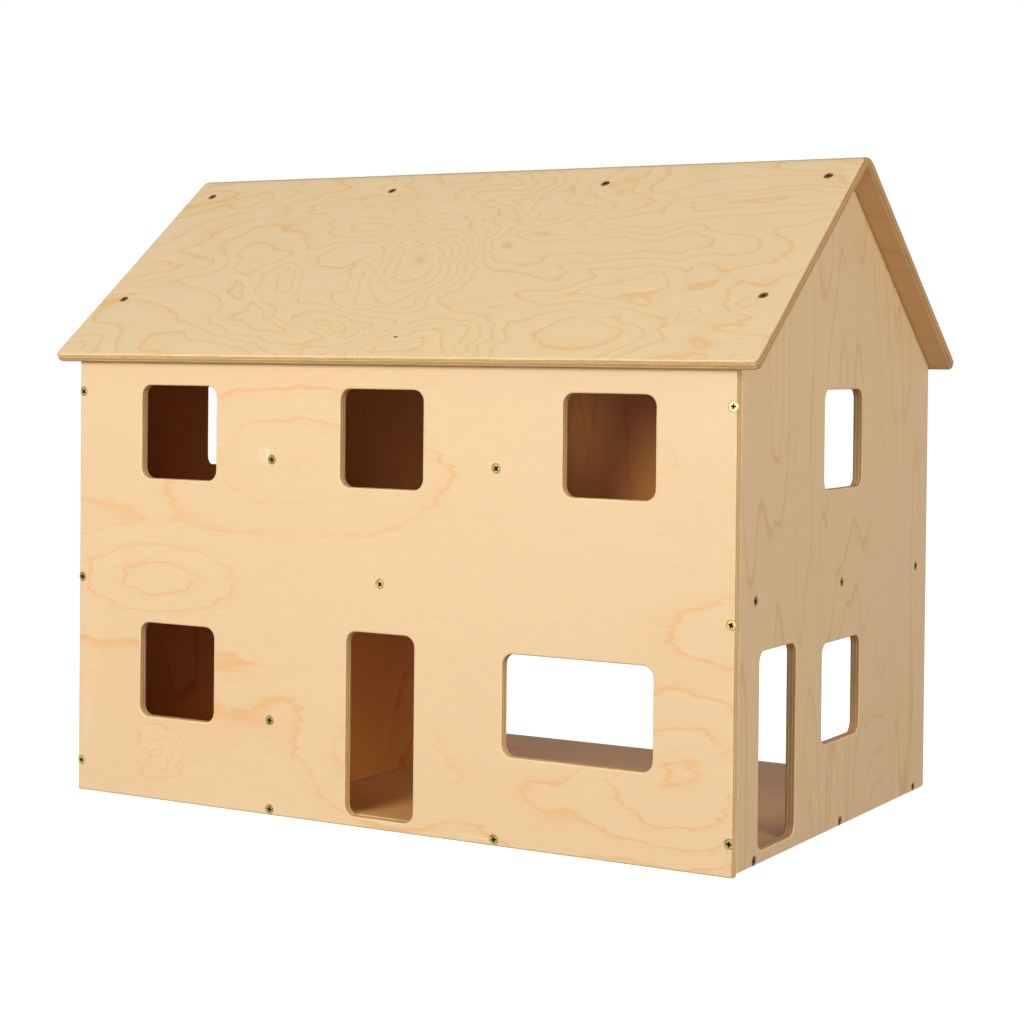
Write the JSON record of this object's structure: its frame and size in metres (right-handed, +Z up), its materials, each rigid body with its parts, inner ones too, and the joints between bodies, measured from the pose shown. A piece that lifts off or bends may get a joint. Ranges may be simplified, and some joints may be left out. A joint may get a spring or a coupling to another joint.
{
  "type": "dollhouse",
  "caption": "Open-backed plywood dollhouse: pitched roof, window and door openings, partitions and floors joined by countersunk screws.",
  "frame": {"origin": "bottom centre of the bounding box, on the plane the house stands on, below the middle of the ridge", "axes": "+X along the ridge towards the wall with the side door, -Y out of the front wall, +Y out of the open back, +Z up"},
  "size_m": [0.747, 0.4822, 0.6097],
  "materials": {
    "front_wall": "clear satin varnish",
    "left_wall": "clear satin varnish",
    "right_wall": "clear satin varnish",
    "ground_floor": "clear satin varnish",
    "mid_floor": "clear satin varnish",
    "lower_partition": "clear satin varnish",
    "upper_left_partition": "clear satin varnish",
    "upper_right_partition": "clear satin varnish",
    "front_roof_panel": "clear satin varnish",
    "back_roof_panel": "clear satin varnish",
    "zinc": "yellow zinc plate"
  },
  "bodies": {
    "root": {"front_wall": "front_wall", "left_wall": "left_wall", "right_wall": "right_wall", "ground_floor": "ground_floor", "mid_floor": "mid_floor", "lower_partition": "lower_partition", "upper_left_partition": "upper_left_partition", "upper_right_partition": "upper_right_partition", "front_roof_panel": "front_roof_panel", "back_roof_panel": "back_roof_panel", "front_screw_01": "zinc", "front_screw_02": "zinc", "front_screw_03": "zinc", "front_screw_04": "zinc", "front_screw_05": "zinc", "front_screw_06": "zinc", "front_screw_07": "zinc", "front_screw_08": "zinc", "front_screw_09": "zinc", "front_screw_10": "zinc", "front_screw_11": "zinc", "front_screw_12": "zinc", "left_screw_1": "zinc", "left_screw_2": "zinc", "left_screw_3": "zinc", "left_screw_4": "zinc", "left_screw_5": "zinc", "left_screw_6": "zinc", "right_screw_1": "zinc", "right_screw_2": "zinc", "right_screw_3": "zinc", "right_screw_4": "zinc", "right_screw_5": "zinc", "right_screw_6": "zinc", "front_roof_screw_1": "zinc", "front_roof_screw_2": "zinc", "front_roof_screw_3": "zinc", "front_roof_screw_4": "zinc", "front_roof_screw_5": "zinc", "front_roof_screw_6": "zinc", "back_roof_screw_1": "zinc", "back_roof_screw_2": "zinc", "back_roof_screw_3": "zinc", "back_roof_screw_4": "zinc", "back_roof_screw_5": "zinc", "back_roof_screw_6": "zinc", "ground_screw_1": "zinc", "ground_screw_2": "zinc", "left_up_screw_1": "zinc", "left_up_screw_2": "zinc", "right_up_screw_1": "zinc", "right_up_screw_2": "zinc"}
  },
  "joints": []
}
